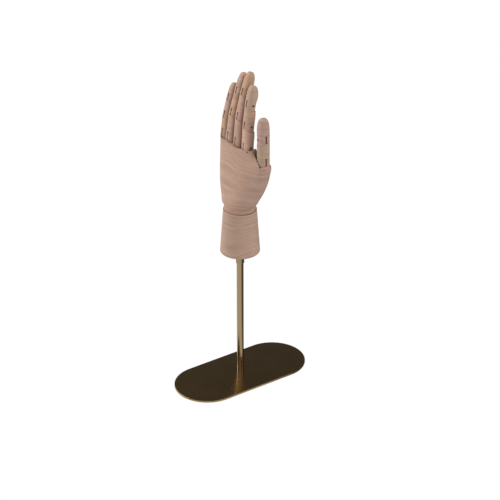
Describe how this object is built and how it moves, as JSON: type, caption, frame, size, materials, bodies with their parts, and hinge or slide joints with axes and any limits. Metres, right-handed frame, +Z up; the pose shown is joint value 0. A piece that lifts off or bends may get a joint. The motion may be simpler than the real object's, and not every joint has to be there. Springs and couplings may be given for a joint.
{
  "type": "mannequin hand",
  "caption": "Jointed wooden mannequin hand standing upright on a slim brass rod and a flat round-ended dark metal base, with bending fingers and thumb and a turning wrist.",
  "frame": {"origin": "middle of the base's underside, on the axis of the rod", "axes": "+Z up along the rod, the forearm and the fingers; +X to the palm's side, along the base; +Y to the little finger's side, so the thumb is at -Y"},
  "size_m": [0.18, 0.0869, 0.3999],
  "materials": {
    "wood": "plain, matt, fine grain across the palm and forearm",
    "brass": "brushed",
    "steel": "plain",
    "dark_bronze": "polished, dark bronze"
  },
  "bodies": {
    "stand": {"base_plate": "dark_bronze", "rod": "brass", "rod_collar": "brass", "forearm_insert": "brass", "forearm": "wood"},
    "hand": {"palm": "wood", "wrist_dowel": "wood", "index_proximal_link": "steel", "middle_proximal_link": "steel", "ring_proximal_link": "steel", "little_proximal_link": "steel", "thumb_proximal_link": "steel"},
    "index_proximal": {"index_proximal": "wood", "index_proximal_pin": "steel", "index_middle_link": "steel"},
    "index_middle": {"index_middle": "wood", "index_middle_pin": "steel", "index_distal_link": "steel"},
    "index_distal": {"index_distal": "wood", "index_distal_pin": "steel"},
    "middle_proximal": {"middle_proximal": "wood", "middle_proximal_pin": "steel", "middle_middle_link": "steel"},
    "middle_middle": {"middle_middle": "wood", "middle_middle_pin": "steel", "middle_distal_link": "steel"},
    "middle_distal": {"middle_distal": "wood", "middle_distal_pin": "steel"},
    "ring_proximal": {"ring_proximal": "wood", "ring_proximal_pin": "steel", "ring_middle_link": "steel"},
    "ring_middle": {"ring_middle": "wood", "ring_middle_pin": "steel", "ring_distal_link": "steel"},
    "ring_distal": {"ring_distal": "wood", "ring_distal_pin": "steel"},
    "little_proximal": {"little_proximal": "wood", "little_proximal_pin": "steel", "little_middle_link": "steel"},
    "little_middle": {"little_middle": "wood", "little_middle_pin": "steel", "little_distal_link": "steel"},
    "little_distal": {"little_distal": "wood", "little_distal_pin": "steel"},
    "thumb_proximal": {"thumb_proximal": "wood", "thumb_proximal_pin": "steel", "thumb_distal_link": "steel"},
    "thumb_distal": {"thumb_distal": "wood", "thumb_distal_pin": "steel"}
  },
  "joints": [
    {"name": "wrist_turn", "type": "hinge", "parent": "stand", "child": "hand", "pos_m": [0, 0, 0.22885], "axis": [0, 0, 1], "continuous": true},
    {"name": "index_proximal_bend", "type": "hinge", "parent": "hand", "child": "index_proximal", "pos_m": [0.0002, -0.0156, 0.3153], "axis": [0, 1, 0], "range_deg": [-2, 78]},
    {"name": "index_middle_bend", "type": "hinge", "parent": "index_proximal", "child": "index_middle", "pos_m": [0.00138, -0.0156, 0.34127], "axis": [0, 1, 0], "range_deg": [-2, 78]},
    {"name": "index_distal_bend", "type": "hinge", "parent": "index_middle", "child": "index_distal", "pos_m": [0.00404, -0.0156, 0.36663], "axis": [0, 1, 0], "range_deg": [-2, 45]},
    {"name": "middle_proximal_bend", "type": "hinge", "parent": "hand", "child": "middle_proximal", "pos_m": [-0.0014, -0.001, 0.3179], "axis": [0, 1, 0], "range_deg": [-2, 78]},
    {"name": "middle_middle_bend", "type": "hinge", "parent": "middle_proximal", "child": "middle_middle", "pos_m": [0.00115, -0.001, 0.34709], "axis": [0, 1, 0], "range_deg": [-2, 78]},
    {"name": "middle_distal_bend", "type": "hinge", "parent": "middle_middle", "child": "middle_distal", "pos_m": [0.00749, -0.001, 0.37518], "axis": [0, 1, 0], "range_deg": [-2, 45]},
    {"name": "ring_proximal_bend", "type": "hinge", "parent": "hand", "child": "ring_proximal", "pos_m": [-0.0016, 0.014, 0.3191], "axis": [0, 1, 0], "range_deg": [-2, 78]},
    {"name": "ring_middle_bend", "type": "hinge", "parent": "ring_proximal", "child": "ring_middle", "pos_m": [0.00246, 0.014, 0.3463], "axis": [0, 1, 0], "range_deg": [-2, 78]},
    {"name": "ring_distal_bend", "type": "hinge", "parent": "ring_middle", "child": "ring_distal", "pos_m": [0.00963, 0.014, 0.3716], "axis": [0, 1, 0], "range_deg": [-2, 45]},
    {"name": "little_proximal_bend", "type": "hinge", "parent": "hand", "child": "little_proximal", "pos_m": [0.0003, 0.0284, 0.3176], "axis": [0, 1, 0], "range_deg": [-2, 78]},
    {"name": "little_middle_bend", "type": "hinge", "parent": "little_proximal", "child": "little_middle", "pos_m": [0.0028, 0.0284, 0.33855], "axis": [0, 1, 0], "range_deg": [-2, 78]},
    {"name": "little_distal_bend", "type": "hinge", "parent": "little_middle", "child": "little_distal", "pos_m": [0.00784, 0.0284, 0.35863], "axis": [0, 1, 0], "range_deg": [-2, 45]},
    {"name": "thumb_proximal_bend", "type": "hinge", "parent": "hand", "child": "thumb_proximal", "pos_m": [0.0072, -0.037, 0.3031], "axis": [-0.9903, 0.1392, 0], "range_deg": [-28, 4]},
    {"name": "thumb_distal_bend", "type": "hinge", "parent": "thumb_proximal", "child": "thumb_distal", "pos_m": [0.0072, -0.037, 0.331], "axis": [-0.9903, 0.1392, 0], "range_deg": [-2, 12]}
  ]
}
